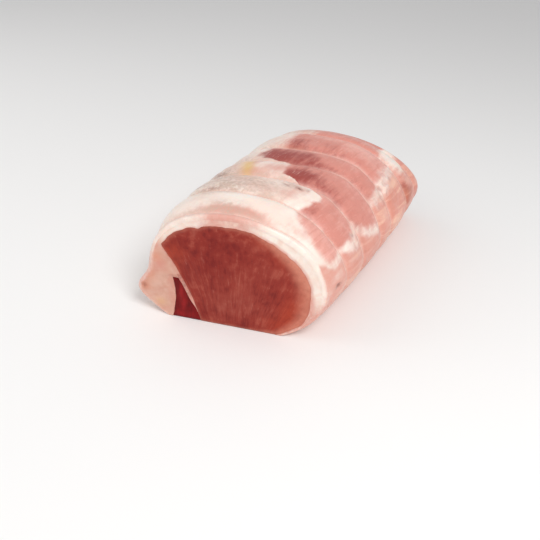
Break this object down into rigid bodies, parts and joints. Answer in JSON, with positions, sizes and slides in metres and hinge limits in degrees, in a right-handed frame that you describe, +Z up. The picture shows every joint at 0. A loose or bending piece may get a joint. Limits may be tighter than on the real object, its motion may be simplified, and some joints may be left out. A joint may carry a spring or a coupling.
{
  "type": "meat joint",
  "caption": "Raw boneless pork collar roast lying on its flat underside: lean muscle wrapped in pale fat, rounded bands with creases between them, one end cut clean across.",
  "frame": {"origin": "middle of the flat underside, under the centre of the bounding box", "axes": "+Z up; +Y along the joint, away from the cut face; +X to the right when facing the cut face"},
  "size_m": [0.131, 0.236, 0.0834],
  "materials": {
    "fat": "moist pale pork fat with pink lean showing through in patches",
    "lean": "freshly cut moist lean pork with a fine upright grain",
    "dark_lean": "freshly cut moist dark lean pork"
  },
  "bodies": {
    "root": {"fat_cap": "fat", "eye_muscle": "lean", "side_muscle": "dark_lean"}
  },
  "joints": []
}
